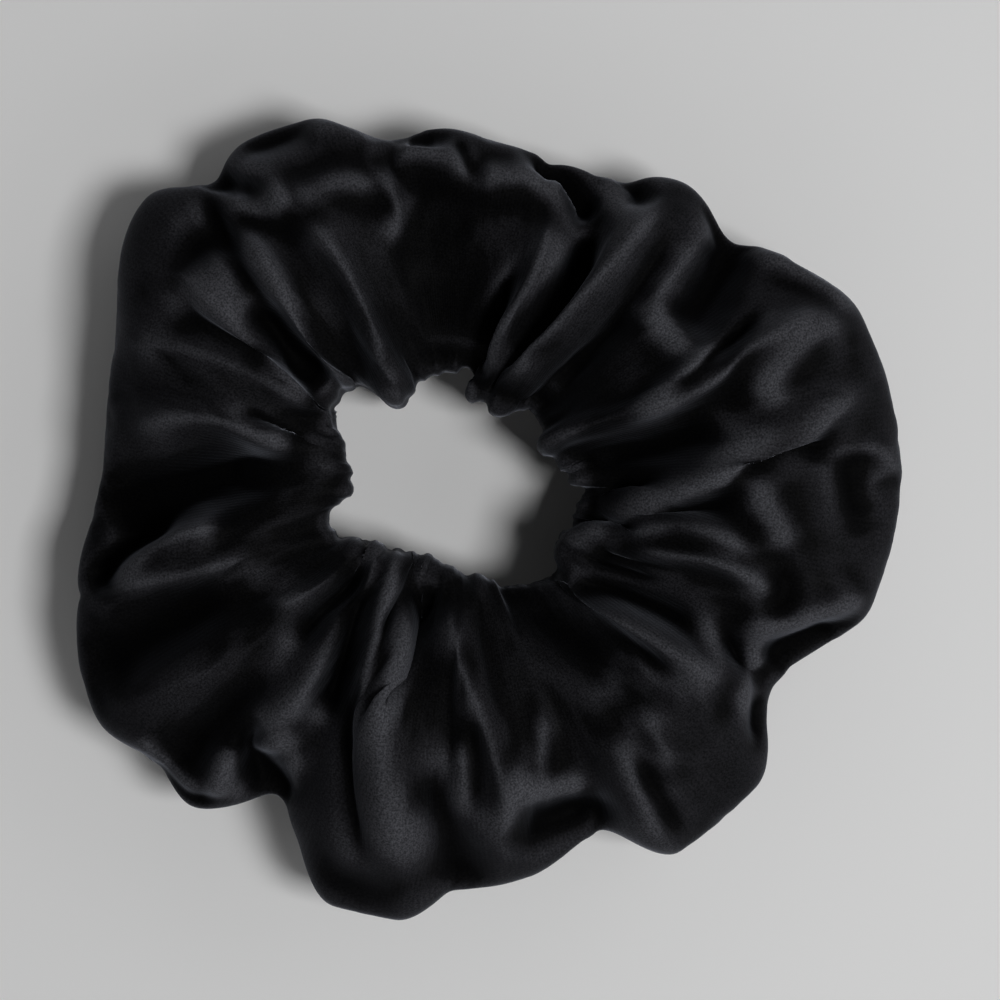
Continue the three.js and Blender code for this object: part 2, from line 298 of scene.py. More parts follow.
FOLD_PIECES = 14  # straight pieces along a fold's line
FOLD_STEEPNESS = 0.9
RIDGE_POWER = 1.5  # a ridge has a sharper top than a crease has a bottom
CREASE_POWER = 2.0
AT_THE_MOUTH = 0.02  # a fold that starts nearer than this share doesn't taper there


def fold_line(start, end, bow):
    """A fold's line in plan, as short straight pieces."""
    t = np.linspace(0, 1, FOLD_PIECES + 1)
    degrees = start[0] + (end[0] - start[0]) * t + 4 * t * (1 - t) * bow
    return plan(degrees, start[1] + (end[1] - start[1]) * t)


def fold_field(points, fold, mask):
    """Which points one fold reaches, and how much of it each takes. A long fold
    tapers at its ends."""
    start, end, bow, height, start_width, end_width = fold
    line = fold_line(start, end, bow)
    flat = points[..., :2].reshape(-1, 2)
    margin = 4 * max(start_width, end_width)
    near = mask.reshape(-1) > 0
    near &= (flat > line.min(0) - margin).all(1) & (flat < line.max(0) + margin).all(1)
    p = flat[near]
    best = np.full(len(p), 1e9)
    along = np.zeros(len(p))
    for i in range(FOLD_PIECES):
        d = line[i + 1] - line[i]
        length = max(np.hypot(*d), 1e-6)
        d = d / length
        offset = p - line[i]
        t = np.clip(offset @ d, 0, length)
        distance = np.hypot(*(offset - t[:, None] * d).T)
        closer = distance < best
        best[closer] = distance[closer]
        along[closer] = (i + t[closer] / length) / FOLD_PIECES
    x = best / (start_width + (end_width - start_width) * along)
    power = RIDGE_POWER if height > 0 else CREASE_POWER
    profile = np.exp(-FOLD_STEEPNESS * x ** power)
    taper = smooth((1 - along) / 0.25)
    if start[1] > AT_THE_MOUTH:
        taper = taper * smooth(along / 0.2)
    span = np.hypot(*(line[1:] - line[:-1]).T).sum()
    longness = np.clip(span / (4 * max(start_width, end_width)) - 0.5, 0, 1)
    return near, profile * (1 - 0.85 * longness * (1 - taper)) * mask.reshape(-1)[near]


def add_folds(points, folds, mask, edge):
    """Raises folds on the cloth. Also gives how much of any fold each point has."""
    normal = normals_of(points)
    lift = np.zeros(mask.size)
    held = np.zeros(mask.size)
    for fold in folds:
        near, amount = fold_field(points, fold, mask)
        lift[near] += fold[HEIGHT] * amount
        held[near] = np.maximum(held[near], amount)
    direction = normal * 0.55 + np.sign(normal[..., 2:] + 0.3) * np.array([0, 0, 0.45])
    points = points + direction * (lift.reshape(mask.shape) * edge)[..., None]
    return points, held.reshape(mask.shape)


def top_mask(across):
    """1 on the top of the tube and over its edges, 0 underneath."""
    return smooth((across + 0.3) / 0.25) * smooth((1.3 - across) / 0.25)


def edge_share(across):
    """Folds are flatter at the rim and at the mouth, so the outline stays."""
    rim = smooth((across - 0.84) / 0.16) * smooth((1.16 - across) / 0.16)
    mouth = smooth((across + 0.16) / 0.16) * smooth((0.2 - across) / 0.2)
    return (1 - 0.7 * rim) * (1 - 0.8 * mouth)


GATHER_COUNT = 60  # round the seam
GATHER_DEPTH = 2.4  # half of what a gather rises above the floor at the seam
GATHER_WANDER = [(5, 0.9, 0.4), (11, 0.6, 2.1), (17, 0.45, 4.0), (29, 0.3, 1.2)]


def gather_wave(degrees, way):
    """From -1 to 1 round the ring. Pairs of gathers run together away from the seam."""
    angle = np.radians(degrees)
    wander = sum(size * np.sin(count * angle + start) for count, size, start in GATHER_WANDER)
    fine = np.sin(GATHER_COUNT * angle + 2.2 * wander)
    broad = np.sin(0.5 * GATHER_COUNT * angle + 1.1 * wander + 0.8 * way)
    merged = smooth((way - 0.25) / 0.6)
    return (fine * (1 - merged) + broad * merged) * (0.8 + 0.2 * np.sin(7 * angle + 1))


def gathers_below(points, across, degrees):
    """The strip is far longer than the elastic, so underneath it stands in deep gathers."""
    seam_way = np.where(across > 0.5, across[:, -1:] - across, across - across[:, :1])
    below = smooth((across - 1.06) / 0.2) + smooth((-0.06 - across) / 0.14)
    points = points.copy()
    depth = GATHER_DEPTH * (1 - 0.4 * smooth(seam_way / 0.5))
    points[..., 2] += depth * below * (1 + gather_wave(degrees, seam_way))
    return points


# How strongly the cloth is gathered at the mouth, as (degrees, share): some
# puffs are smooth right down to the elastic.
GATHERS = [
    (0, 1.0), (20, 0.8), (40, 0.3), (62, 0.3), (76, 0.4), (88, 0.12), (118, 0.12), (130, 0.35),
    (150, 0.5), (190, 0.6), (215, 0.8), (248, 0.6), (262, 0.2), (300, 0.2), (322, 0.7), (342, 1.0),
]


PLEAT_GAP = (3.5, 6.5)  # degrees from one pleat to the next
PLEAT_DRIFT = 9  # degrees that a pleat may lean to either side
PLEAT_LENGTH = (0.12, 0.6)  # as a share of the way to the rim
PLEAT_HEIGHT = (0.5, 1.5)
PLEAT_WIDTH = (0.9, 1.5)  # at the mouth
PLEAT_SPREAD = 2.2  # how many of its own widths it gains on the way to the rim


def pleats(points, across, degrees):
    """Fine gathers that fan out from the mouth, above and below."""
    normal = normals_of(points)
    angle = 0.0
    lift = np.zeros(points.shape[:2])
    reach = np.hypot(points[..., 0], points[..., 1])
    while angle < 360:
        for side in (1, -1):
            start = angle + rng.uniform(-1.5, 1.5)
            drift = rng.uniform(-PLEAT_DRIFT, PLEAT_DRIFT)
            length = rng.uniform(*PLEAT_LENGTH)
            height = rng.uniform(*PLEAT_HEIGHT)
            width = rng.uniform(*PLEAT_WIDTH)
            way = np.clip(side * across, 0, 1)
            gap = (degrees - start - drift * way + 180) % 360 - 180
            x = np.abs(np.radians(gap) * reach) / (width * (1 + PLEAT_SPREAD * way))
            fade = smooth((length - side * across) / (0.6 * length))
            fade = fade * smooth((side * across + 0.35) / 0.3)
            strength = around(GATHERS, start) if side == 1 else 1.0
            lift += strength * height * fade * np.exp(-x ** 1.6)
        angle += rng.uniform(*PLEAT_GAP)
    return points + normal * (lift - lift.mean(0, keepdims=True) * 0.8)[..., None]


def soften(points, times):
    """Averages each point with its neighbours. The two outer columns are averaged
    only along the ring."""
    for _ in range(times):
        inner = points.copy()
        inner[:, 1:-1] = 0.5 * points[:, 1:-1] + 0.25 * (points[:, :-2] + points[:, 2:])
        points = 0.5 * inner + 0.25 * (np.roll(inner, 1, 0) + np.roll(inner, -1, 0))
    return points


def grid_faces(rows, columns):
    """Faces of a grid whose last row joins its first."""
    index = np.arange(rows * columns).reshape(rows, columns)
    a, b = index[:, :-1], index[:, 1:]
    return np.stack([a, b, np.roll(b, -1, 0), np.roll(a, -1, 0)], -1).reshape(-1, 4)


def grid_mesh(name, points, scale=MM):
    """A ring-shaped grid as a mesh object, each row joined to the next."""
    rows, columns = points.shape[:2]
    mesh = bpy.data.meshes.new(name)
    corners = (points.reshape(-1, 3) * scale).tolist()
    mesh.from_pydata(corners, [], grid_faces(rows, columns).tolist())
    mesh.shade_smooth()
    piece = bpy.data.objects.new(name, mesh)
    bpy.context.scene.collection.objects.link(piece)
    return piece


# ---- cloth simulation -------------------------------------------------------

CLOTH_SCALE = 10.0  # the solver works best on cloth of about a metre
CLOTH_FRAMES = 20
PRESSURE = 1.0
STIFFNESS = 15.0
BENDING = 0.5
SHRINK = -0.02  # below nought the cloth grows, and so it puckers
LOOSE_PIN = 0.03  # how firmly the puffs are held, where 1 is fixed
FOLD_PIN = 0.25
RIM_PIN = 0.25
MOST_MOVE = 4.0  # mm, the furthest that a point settles


def pin_weights(across, held):
    """How firmly each point stays where it is: the gathered mouth and the seam
    stay, the folds' crests and the rim less so, and the puffs are nearly free."""
    pin = LOOSE_PIN + FOLD_PIN * held ** 2 + RIM_PIN * smooth((0.12 - np.abs(across - 1)) / 0.1)
    pin = np.maximum(pin, smooth((0.1 - np.abs(across)) / 0.08))
    pin = np.maximum(pin, smooth((-across - 0.2) / 0.1))
    pin[:, -1] = 1
    return pin


def settled(points, across, held):
    """The same cloth after its puffs have filled and its folds have settled."""
    coarse = points[::2, ::2]
    ring = grid_mesh("settling", coarse, MM * CLOTH_SCALE)
    group = ring.vertex_groups.new(name="pin")
    weights = np.round(pin_weights(across[::2, ::2], held[::2, ::2]), 2).reshape(-1)
    for weight in np.unique(weights):
        group.add(np.nonzero(weights == weight)[0].tolist(), float(weight), "REPLACE")
    cloth = ring.modifiers.new("cloth", "CLOTH")
    cloth.settings.quality = 5
    cloth.settings.mass = 0.1
    cloth.settings.air_damping = 2
    cloth.settings.tension_stiffness = STIFFNESS
    cloth.settings.compression_stiffness = STIFFNESS
    cloth.settings.shear_stiffness = STIFFNESS * 0.3
    cloth.settings.bending_stiffness = BENDING
    cloth.settings.tension_damping = 2
    cloth.settings.compression_damping = 2
    cloth.settings.shear_damping = 1
    cloth.settings.vertex_group_mass = "pin"
    cloth.settings.shrink_min = SHRINK
    cloth.settings.use_pressure = True
    cloth.settings.uniform_pressure_force = PRESSURE
    cloth.settings.effector_weights.gravity = 0
    cloth.collision_settings.use_collision = False
    cloth.point_cache.frame_start = 1
    cloth.point_cache.frame_end = CLOTH_FRAMES
    for number in range(1, CLOTH_FRAMES + 1):
        bpy.context.scene.frame_set(number)
    after = ring.evaluated_get(bpy.context.evaluated_depsgraph_get()).to_mesh()
    flat = np.empty(len(after.vertices) * 3)
    after.vertices.foreach_get("co", flat)
    bpy.data.objects.remove(ring)
    bpy.context.scene.frame_set(1)
    move = flat.reshape(coarse.shape) / (MM * CLOTH_SCALE) - coarse
    size = np.linalg.norm(move, axis=-1, keepdims=True)
    move = move * np.minimum(1, MOST_MOVE / np.maximum(size, 1e-6))
    rows = np.empty((points.shape[0], move.shape[1], 3))
    rows[::2] = move
    rows[1::2] = 0.5 * (move + np.roll(move, -1, 0))
    full = np.empty(points.shape)
    full[:, ::2] = rows
    full[:, 1::2] = 0.5 * (rows[:, :-1] + rows[:, 1:])
    return points + full


# ---- the cover --------------------------------------------------------------

NARROW = 1.55  # folds up to this width are creased in after the cloth settles
ROOF_LEVEL = 15.2  # the top stays above this over the elastic
LOWEST_TOP = 0.25  # and keeps at least this share of its height elsewhere
ROOF_REACH = 7.0  # mm either side of the elastic where the roof is held up
CLEAR_BLEND = 0.6  # mm over which a raised crease bottom is rounded off
SEAM_GROOVE = 0.9
ALLOWANCE_HEIGHT = 6.0  # how far the strip's turned-in edges stand up inside the tube
ALLOWANCE_STEPS = 5
ALLOWANCE_RUFFLE = 0.9
ALLOWANCE_GAP = 0.35  # of each edge from the seam's middle


def larger(a, b, blend):
    """The larger of two, with a rounded change from one to the other."""
    return 0.5 * (a + b + np.sqrt((a - b) ** 2 + blend ** 2))


def lifted_clear(points, base, across, degrees):
    """No crease reaches down to the elastic or through to the underside."""
    reach = np.hypot(points[..., 0], points[..., 1])
    beside_band = np.abs(reach - band_radius(degrees) - BAND_THICKNESS)
    over_band = smooth((ROOF_REACH - beside_band) / 4)
    lowest = MIDDLE_LEVEL + LOWEST_TOP * (base[..., 2] - MIDDLE_LEVEL)
    lowest = lowest + over_band * np.maximum(ROOF_LEVEL - lowest, 0)
    top = smooth((across - 0.02) / 0.1) * smooth((0.98 - across) / 0.06)
    clear = larger(points[..., 2], lowest, CLEAR_BLEND)
    points = points.copy()
    points[..., 2] += top * (clear - points[..., 2])
    return points


def cover_points():
    """The finished cloth from seam to seam, where each point lies across it, and how
    far its top stands above or below its plain puff."""
    base, across, degrees = base_surface()
    edge = edge_share(across)
    broad = [fold for fold in FOLDS if fold[START_WIDTH] > NARROW]
    narrow = [fold for fold in FOLDS if fold[START_WIDTH] <= NARROW]
    points, held = add_folds(base, broad, top_mask(across), edge)
    points = settled(points, across, held)
    points, _ = add_folds(points, narrow, top_mask(across), edge)
    points = pleats(points, across, degrees)
    points = lifted_clear(points, base, across, degrees)
    points = gathers_below(points, across, degrees)
    points = soften(points, 2)
    column = np.minimum(np.arange(COLUMNS), np.arange(COLUMNS)[::-1])
    points[..., 2] += SEAM_GROOVE * np.exp(-column / 1.3)
    points[..., 2] = np.maximum(points[..., 2], FLOOR_GAP)
    rise = (points[..., 2] - base[..., 2]) * top_mask(across)
    return points, across, rise


def ruffle(angle):
    """How far the turned-in edges sway to one side, both together."""
    return ALLOWANCE_RUFFLE * gather_wave(np.degrees(angle) + 1.5, 0.0)


def allowance_top(seam_level):
    """Height of the turned-in edges, which sway less than the seam they stand on."""
    middle = seam_level.mean()
    return middle + ALLOWANCE_HEIGHT + 0.5 * (seam_level - middle)


def allowance(seam, side):
    """One of the strip's two long edges, turned up inside the tube and ruffled."""
    share = np.linspace(0, 1, ALLOWANCE_STEPS + 1)[1:]
    angle = np.arctan2(seam[:, 1], seam[:, 0])[:, None]
    reach = np.hypot(seam[:, 0], seam[:, 1])[:, None]
    reach = reach + side * ALLOWANCE_GAP * smooth(share / 0.3) + share * ruffle(angle)
    height = seam[:, 2:3] + share * (allowance_top(seam[:, 2:3]) - seam[:, 2:3])
    return np.stack([reach * np.cos(angle), reach * np.sin(angle), height], -1)


def with_allowances(points):
    """The cloth with both of its turned-in edges."""
    inner = allowance(points[:, 0], -1)[:, ::-1]
    outer = allowance(points[:, -1], 1)
    return np.concatenate([inner, points, outer], 1)


# These turn the cloth's shape into painted light and shade: crests are painted lighter, creases
# darker.
FINE_CREST = 0.38  # mm that a sharp crest stands above the cloth beside it
BROAD_CREST = 7.0  # the same for a wide ridge
# Depth at which a crease gets its full painted shade, and height at which a ridge gets its full
# painted light.
HOLLOW_DEPTH = 3.2  # mm below its plain puff at which cloth is well into a crease
RIDGE_HEIGHT = 14.0  # mm above it at which cloth is well up a crest
# How much painted sheen the outer half gets.
OUTER_HALF_PAINTED_SHEEN = 0.26  # what the outer half adds


def painted_light_share(points, across, rise):
    """The painted light and shade in the satin's colour: from -1, painted shade deep in a
    crease, to 1, a painted highlight along a sharp crest. Smooth cloth is near 0; the
    outer half, stretched over the fullest curve, gets a little painted sheen."""
    normal = normals_of(points)
    share = np.zeros(points.shape[:2])
    smoothed = points
    for times, height in ((5, FINE_CREST), (40, BROAD_CREST)):
        smoothed = soften(smoothed, times)
        stands = np.sum((points - smoothed) * normal, -1)
        share += (stands - soften(stands, 160)) / height
    # Painted shade where the cloth sinks below its plain puff, painted light where it stands above
    # it.
    share += np.where(rise < 0, rise / HOLLOW_DEPTH, rise / RIDGE_HEIGHT)
    # Painted sheen on the outer half.
    share += OUTER_HALF_PAINTED_SHEEN * smooth((across - 0.3) / 0.4) * smooth((1.3 - across) / 0.3)
    return np.tanh(share)


STRIP_LENGTH = 0.45  # metres of cloth, gathered into the ring
STRIP_WIDTH = 0.115  # the tube's girth and its two turned-in edges


def add_cloth_map(mesh, rows, columns):
    """A UV map that lies on the cloth: metres along the strip and across it."""
    row = np.arange(rows)[:, None, None] + np.array([0, 0, 1, 1])
    column = np.arange(columns - 1)[None, :, None] + np.array([0, 1, 1, 0])
    u = np.broadcast_to(row * (STRIP_LENGTH / rows), (rows, columns - 1, 4))
    v = np.broadcast_to(column * (STRIP_WIDTH / (columns - 1)), (rows, columns - 1, 4))
    uv = mesh.uv_layers.new(name="cloth")
    uv.data.foreach_set("uv", np.stack([u, v], -1).reshape(-1).astype(np.float32))


def make_cover(skin, across, rise):
    """The cover as one piece of cloth, with painted light and shade stored for the
    material: a painted highlight on its crests, painted shade in its creases.
    """
    points = with_allowances(skin)
    beside = ((0, 0), (ALLOWANCE_STEPS, ALLOWANCE_STEPS))
    share = painted_light_share(points, np.pad(across, beside, mode="edge"), np.pad(rise, beside))
    points[..., :2] += OPENING
    piece = grid_mesh("cover", points)
    # The painted light and shade, stored on each point.
    painted_light = piece.data.attributes.new("painted_light", "FLOAT", "POINT")
    painted_light.data.foreach_set("value", share.reshape(-1).astype(np.float32))
    add_cloth_map(piece.data, *points.shape[:2])
    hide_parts("cover_left", "cover_right")
    return piece


skin, across, rise = cover_points()
cover = make_cover(skin, across, rise)

# ---- elastic and threads ----------------------------------------------------

BAND_WIDTH = 6.0
BAND_CORDS = 8  # rubber cords along the band
BAND_STEPS = 420
OVERLAP_START = 168.0  # degrees
OVERLAP_SWEEP = 24.0  # degrees, about 10 mm of band
LAYER_PITCH = 1.4  # from one layer to the next in the overlap
STEP_OUT_START = 330  # degrees along the band, where it starts to move out a layer
STEP_OUT_SWEEP = 26
THREAD_RADIUS = 0.22
PLY_PITCH = 1.1  # mm of thread to half a turn of its two plies
JOIN_STITCHES = 13
JOIN_HALF_HEIGHT = 1.8
JOIN_PROUD = 0.3  # how far the join's stitches stand off the band
SEAM_STITCHES = 120
SEAM_HALF_WIDTH = 0.95
SEAM_BITE = 2.3  # how far the overlock reaches down the turned-in edges
CLOSING_STITCHES = 12
CLOSING_START = 196.0  # degrees, where the tube was left open for the elastic
CLOSING_SWEEP = 26.0
CLOSING_COLUMN = 2  # grid columns from the seam at which the needle goes in
CLOSING_BITE = 0.5


def place(degrees, reach, z):
    """Points at an angle and a distance about the opening."""
    angle = np.radians(degrees)
    x = OPENING[0] + reach * np.cos(angle)
    return np.stack(np.broadcast_arrays(x, OPENING[1] + reach * np.sin(angle), z), -1)


def skin_mesh(name, rings):
    """A closed skin through rings of points, with a face over each end."""
    steps, sides = rings.shape[:2]
    index = np.arange(steps * sides).reshape(steps, sides)
    a, b = index[:-1], index[1:]
    faces = np.stack([a, np.roll(a, -1, 1), np.roll(b, -1, 1), b], -1).reshape(-1, 4).tolist()
    faces.append(index[0, ::-1].tolist())
    faces.append(index[-1].tolist())
    mesh = bpy.data.meshes.new(name)
    mesh.from_pydata((rings.reshape(-1, 3) * MM).tolist(), [], faces)
    mesh.shade_smooth()
    piece = bpy.data.objects.new(name, mesh)
    bpy.context.scene.collection.objects.link(piece)
    return piece


def make_elastic():
    """The woven band: once round and on over its own start, one layer out."""
    passed = np.linspace(0, 360 + OVERLAP_SWEEP, BAND_STEPS)[:, None]
    degrees = OVERLAP_START + passed
    middle = band_radius(degrees) + 0.5 * BAND_THICKNESS
    middle = middle + LAYER_PITCH * smooth((passed - STEP_OUT_START) / STEP_OUT_SWEEP)
    width = np.linspace(0, 1, 5 * BAND_CORDS + 1)
    half = 0.5 * BAND_THICKNESS * (0.62 + 0.38 * np.abs(np.sin(np.pi * BAND_CORDS * width)))
    offset = np.concatenate([half, -half[::-1]])[None, :]
    height = MIDDLE_LEVEL + BAND_WIDTH * (np.concatenate([width, width[::-1]])[None, :] - 0.5)
    return skin_mesh("elastic", place(degrees, middle + offset, height))


def even_path(corners, step):
    """The same route with rounded corners and evenly spaced points."""
    route = np.array(corners, float)
    for _ in range(2):
        early = 0.75 * route[:-1] + 0.25 * route[1:]
        late = 0.25 * route[:-1] + 0.75 * route[1:]
        inner = np.stack([early, late], 1).reshape(-1, 3)
        route = np.concatenate([route[:1], inner, route[-1:]])
    length = np.r_[0, np.linalg.norm(np.diff(route, axis=0), axis=1).cumsum()]
    even = np.linspace(0, length[-1], max(int(length[-1] / step), 2))
    return np.stack([np.interp(even, length, route[:, k]) for k in range(3)], -1)


def make_thread(name, corners, radius=THREAD_RADIUS, step=0.35, sides=8):
    """Two-ply thread: its section is a rounded figure of eight that turns."""
    path = even_path(corners, step)
    way = np.gradient(path, axis=0)
    way /= np.linalg.norm(way, axis=1, keepdims=True)
    up = np.cross(way[0], (0.3, 0.5, 0.8))
    rings = []
    turn = np.arange(sides) * 2 * np.pi / sides
    for i, (point, ahead) in enumerate(zip(path, way)):
        up = up - ahead * (up @ ahead)
        up /= np.linalg.norm(up)
        side = np.cross(ahead, up)
        twist = np.pi * i * step / PLY_PITCH
        reach = radius * (0.66 + 0.34 * np.abs(np.cos(turn - twist)))
        ring = point + (reach * np.cos(turn))[:, None] * up
        rings.append(ring + (reach * np.sin(turn))[:, None] * side)
    return skin_mesh(name, np.array(rings))


def join_corners():
    """Zigzag through both layers of the elastic's overlap."""
    corners = []
    for i in range(JOIN_STITCHES):
        degrees = OVERLAP_START + 5 + (OVERLAP_SWEEP - 10) * i / (JOIN_STITCHES - 1)
        z = MIDDLE_LEVEL + (JOIN_HALF_HEIGHT if i % 2 == 0 else -JOIN_HALF_HEIGHT)
        band = band_radius(degrees)
        inside = place(degrees, band - JOIN_PROUD, z)
        outside = place(degrees, band + LAYER_PITCH + BAND_THICKNESS + JOIN_PROUD, z)
        corners += [outside, inside] if i % 2 == 0 else [inside, outside]
    return corners


def overlock_corners():
    """Round the two turned-in edges of the long seam, all the way round."""
    top = allowance_top(skin[:, 0, 2])
    corners = []
    for i in range(SEAM_STITCHES):
        degrees = OVERLAP_START + OVERLAP_SWEEP + 360 * i / (SEAM_STITCHES + 0.5)
        side = SEAM_HALF_WIDTH if i % 2 == 0 else -SEAM_HALF_WIDTH
        level = np.interp(degrees % 360, np.arange(ROWS) * 360 / ROWS, top, period=360)
        middle = seam_radius(degrees) + ruffle(np.radians(degrees))
        loop = ((-side, -SEAM_BITE), (-side, 0.6), (side, 0.6), (side, -SEAM_BITE))
        for offset, above in loop:
            corners.append(place(degrees, middle + offset, level + above))
    return corners


def closing_corners():
    """Hand stitches over the seam underneath, where the elastic went in."""
    corners = []
    for i in range(CLOSING_STITCHES + 1):
        degrees = CLOSING_START + CLOSING_SWEEP * i / CLOSING_STITCHES
        row = int(round(degrees * ROWS / 360))
        column = CLOSING_COLUMN if i % 2 == 0 else -1 - CLOSING_COLUMN
        point = skin[row, column] + np.array([*OPENING, 0])
        bite = np.array([0, 0, CLOSING_BITE])
        corners += [point + bite, point - np.array([0, 0, THREAD_RADIUS]), point - bite * 0.5]
    return corners


elastic = make_elastic()
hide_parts("elastic_band")
join_stitches = make_thread("join_stitches", join_corners())
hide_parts("elastic_join_stitches")
seam_thread = make_thread("seam_thread", overlock_corners())
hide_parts("tube_seam_thread")
closing_stitches = make_thread("closing_stitches", closing_corners())
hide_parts("closing_seam_thread")
threads = [join_stitches, seam_thread, closing_stitches]

# ---- materials --------------------------------------------------------------


def add_node(material, kind, inputs=None, **settings):
    """A shader node. Its inputs are other nodes' outputs or plain values."""
    tree = material.node_tree
    node = tree.nodes.new(kind)
    for name, value in settings.items():
        setattr(node, name, value)
    for key, value in (inputs or {}).items():
        if isinstance(value, bpy.types.NodeSocket):
            tree.links.new(value, node.inputs[key])
        else:
            node.inputs[key].default_value = value
    return node


def math_node(material, operation, a, b=0.0, c=0.0):
    return add_node(material, "ShaderNodeMath", {0: a, 1: b, 2: c}, operation=operation).outputs[0]


def range_node(material, value, low, high, to_low, to_high):
    inputs = {"Value": value, "From Min": low, "From Max": high}
    node = add_node(material, "ShaderNodeMapRange", inputs)
    node.inputs["To Min"].default_value = to_low
    node.inputs["To Max"].default_value = to_high
    return node.outputs[0]


def noise_node(material, position, scale, detail=2.0):
    inputs = {"Vector": position, "Scale": scale, "Detail": detail}
    return add_node(material, "ShaderNodeTexNoise", inputs).outputs[0]


# Black satin: the flats show its own near-black colour. Painted shade makes the creases
# blacker, and a painted highlight makes the slopes and crests lighter and a little bluer.
# This painted light follows the cloth's own shape, not the lamps.
PAINTED_CREASE_SHADE = (0.0010, 0.0010, 0.0011, 1)
FLAT_COLOUR = (0.0038, 0.0038, 0.0041, 1)
PAINTED_SLOPE_LIGHT = (0.0135, 0.0135, 0.0155, 1)
PAINTED_CREST_HIGHLIGHT = (0.052, 0.053, 0.060, 1)
GRAIN = 0.45  # how far the woven grain lightens and darkens the cloth
GRAIN_SCALE = 3600.0
RIBS = 480  # fine woven ribs round the ring
RIB_WANDER = 9.0  # radians that they stray at most
SPECULAR = 0.01
SHEEN = 0.22
BLUE_SHEEN = (0.8, 0.85, 1.0, 1)


def satin_material():
    material = bpy.data.materials.new("black_satin")
    material.use_nodes = True
    shader = material.node_tree.nodes["Principled BSDF"]
    position = add_node(material, "ShaderNodeTexCoord").outputs["Object"]
    cloth = add_node(material, "ShaderNodeUVMap", uv_map="cloth").outputs[0]
    painted_light = add_node(material, "ShaderNodeAttribute", attribute_name="painted_light").outputs["Fac"]

    grain = noise_node(material, position, GRAIN_SCALE, 2.5)
    cloud = noise_node(material, position, 160.0, 3.0)
    along = add_node(material, "ShaderNodeSeparateXYZ", {0: cloth}).outputs[0]
    turns = math_node(material, "MULTIPLY", along, 2 * math.pi * RIBS / STRIP_LENGTH)
    wobble = math_node(material, "MULTIPLY_ADD", cloud, RIB_WANDER, turns)
    rib = math_node(material, "SINE", wobble)

    # Painted light: the ramp paints shade into the creases and highlights along the crests, with a
    # faint trace of the woven ribs.
    catch = math_node(material, "MULTIPLY_ADD", rib, 0.03, painted_light)
    share = range_node(material, catch, -1, 1, 0, 1)
    ramp = add_node(material, "ShaderNodeValToRGB", {0: share})
    ramp.color_ramp.elements[0].position = 0.1
    ramp.color_ramp.elements[0].color = PAINTED_CREASE_SHADE
    ramp.color_ramp.elements[1].position = 1.0
    ramp.color_ramp.elements[1].color = PAINTED_CREST_HIGHLIGHT
    ramp.color_ramp.elements.new(0.5).color = FLAT_COLOUR
    ramp.color_ramp.elements.new(0.72).color = PAINTED_SLOPE_LIGHT
    speckle = range_node(material, grain, 0.35, 0.65, 1 - GRAIN, 1 + GRAIN)
    colour = add_node(
        material, "ShaderNodeVectorMath", {0: ramp.outputs[0], "Scale": speckle}, operation="SCALE"
    ).outputs[0]
    material.node_tree.links.new(colour, shader.inputs["Base Color"])

    surface = math_node(material, "MULTIPLY_ADD", rib, 0.14, grain)
    bump_inputs = {"Height": surface, "Strength": 0.4, "Distance": 0.0001}
    bump = add_node(material, "ShaderNodeBump", bump_inputs)
    material.node_tree.links.new(bump.outputs[0], shader.inputs["Normal"])
    roughness = range_node(material, cloud, 0.3, 0.7, 0.46, 0.56)
    material.node_tree.links.new(roughness, shader.inputs["Roughness"])
    shader.inputs["Specular IOR Level"].default_value = SPECULAR
    shader.inputs["Sheen Weight"].default_value = SHEEN
    shader.inputs["Sheen Roughness"].default_value = 0.35
    shader.inputs["Sheen Tint"].default_value = BLUE_SHEEN
    return material


WEFT_YARNS = 260.0  # round the elastic


def elastic_material():
    """Black woven elastic: the weft shows as fine ridges across the band."""
    material = bpy.data.materials.new("woven_elastic")
    material.use_nodes = True
    shader = material.node_tree.nodes["Principled BSDF"]
    position = add_node(material, "ShaderNodeTexCoord").outputs["Object"]
    centred = add_node(
        material, "ShaderNodeVectorMath", {0: position, 1: (*(OPENING * MM), 0)}, operation="SUBTRACT"
    ).outputs[0]
    axes = add_node(material, "ShaderNodeSeparateXYZ", {0: centred})
    angle = math_node(material, "ARCTAN2", axes.outputs[1], axes.outputs[0])
    weft = math_node(material, "SINE", math_node(material, "MULTIPLY", angle, WEFT_YARNS))
    grain = noise_node(material, position, 3000.0)
    height = math_node(material, "MULTIPLY_ADD", weft, 0.5, grain)
    bump_inputs = {"Height": height, "Strength": 0.6, "Distance": 0.0002}
    bump = add_node(material, "ShaderNodeBump", bump_inputs)
    material.node_tree.links.new(bump.outputs[0], shader.inputs["Normal"])
    ramp = add_node(material, "ShaderNodeValToRGB", {0: range_node(material, height, 0, 1, 0, 1)})
    ramp.color_ramp.elements[0].color = (0.006, 0.006, 0.007, 1)
    ramp.color_ramp.elements[1].color = (0.022, 0.022, 0.024, 1)
    material.node_tree.links.new(ramp.outputs[0], shader.inputs["Base Color"])
    shader.inputs["Roughness"].default_value = 0.8
    shader.inputs["Specular IOR Level"].default_value = 0.3
    return material


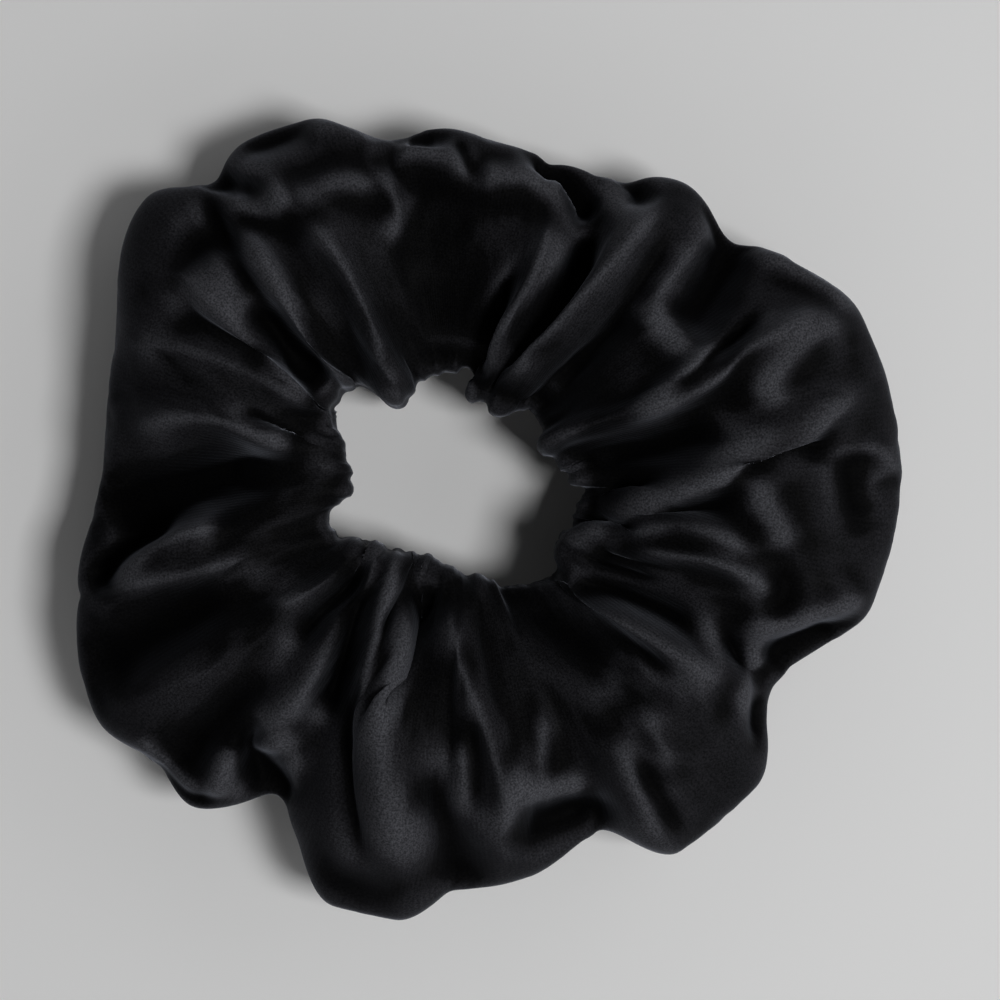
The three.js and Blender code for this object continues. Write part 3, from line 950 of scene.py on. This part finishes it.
def thread_material():
    """Black polyester thread with loose fibres and a slight shine."""
    material = bpy.data.materials.new("black_thread")
    material.use_nodes = True
    shader = material.node_tree.nodes["Principled BSDF"]
    position = add_node(material, "ShaderNodeTexCoord").outputs["Object"]
    fibres = noise_node(material, position, 5000.0, 3.0)
    ramp = add_node(material, "ShaderNodeValToRGB", {0: fibres})
    ramp.color_ramp.elements[0].color = (0.004, 0.004, 0.005, 1)
    ramp.color_ramp.elements[1].color = (0.025, 0.025, 0.028, 1)
    material.node_tree.links.new(ramp.outputs[0], shader.inputs["Base Color"])
    bump_inputs = {"Height": fibres, "Strength": 0.4, "Distance": 0.0001}
    bump = add_node(material, "ShaderNodeBump", bump_inputs)
    material.node_tree.links.new(bump.outputs[0], shader.inputs["Normal"])
    roughness = range_node(material, fibres, 0.3, 0.7, 0.45, 0.65)
    material.node_tree.links.new(roughness, shader.inputs["Roughness"])
    return material


cover.data.materials.append(satin_material())
elastic.data.materials.append(elastic_material())
black_thread = thread_material()
for piece in threads:
    piece.data.materials.append(black_thread)

# ---- stage ------------------------------------------------------------------


FLOOR_HALF = 3.0  # metres


def add_floor():
    mesh = bpy.data.meshes.new("floor")
    s = FLOOR_HALF
    mesh.from_pydata([(-s, -s, 0), (s, -s, 0), (s, s, 0), (-s, s, 0)], [], [(0, 1, 2, 3)])
    floor = bpy.data.objects.new("floor", mesh)
    bpy.context.scene.collection.objects.link(floor)
    material = bpy.data.materials.new("pale_floor")
    material.use_nodes = True
    shader = material.node_tree.nodes["Principled BSDF"]
    shader.inputs["Base Color"].default_value = (0.85, 0.85, 0.85, 1)
    shader.inputs["Roughness"].default_value = 0.9
    mesh.materials.append(material)


def add_light(name, azimuth, elevation, distance, size, power):
    data = bpy.data.lights.new(name, "AREA")
    data.shape = "RECTANGLE"
    data.size = size[0]
    data.size_y = size[1]
    data.energy = power
    light = bpy.data.objects.new(name, data)
    a, e = math.radians(azimuth), math.radians(elevation)
    flat = distance * math.cos(e)
    light.location = (flat * math.cos(a), flat * math.sin(a), distance * math.sin(e))
    light.rotation_euler = (math.pi / 2 - e, 0, a + math.pi / 2)
    light.visible_camera = False
    bpy.context.scene.collection.objects.link(light)


LIGHT_DISTANCE = 1.2  # metres
SIDE_LIGHTS = 6
SIDE_ELEVATION = 24
SIDE_SIZE = (1.1, 0.55)
SIDE_POWER = 1.2
SIDE_LEAN = 0.8  # how much stronger the side lights are on the top light's side
TOP_POWER = 8.0
TOP_AZIMUTH = -20
TOP_ELEVATION = 58
TOP_SIZE = (0.4, 0.4)
WORLD_LIGHT = 0.03

add_floor()
for i in range(SIDE_LIGHTS):
    azimuth = 30 + 360 / SIDE_LIGHTS * i
    facing = math.cos(math.radians(azimuth - TOP_AZIMUTH))
    power = SIDE_POWER * (1 + SIDE_LEAN * facing)
    add_light(f"side_{i}", azimuth, SIDE_ELEVATION, LIGHT_DISTANCE, SIDE_SIZE, power)
add_light("top", TOP_AZIMUTH, TOP_ELEVATION, LIGHT_DISTANCE, TOP_SIZE, TOP_POWER)

world = bpy.data.worlds.new("world")
world.use_nodes = True
world.node_tree.nodes["Background"].inputs[0].default_value = (1, 1, 1, 1)
world.node_tree.nodes["Background"].inputs[1].default_value = WORLD_LIGHT
bpy.context.scene.world = world
bpy.context.scene.view_settings.view_transform = "Standard"

# ---- each piece's placement applied to its mesh -----------------------------

# Each piece's placement is applied to its own mesh, which leaves it where it is.
for piece in [cover, elastic, *threads]:
    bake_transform(piece)
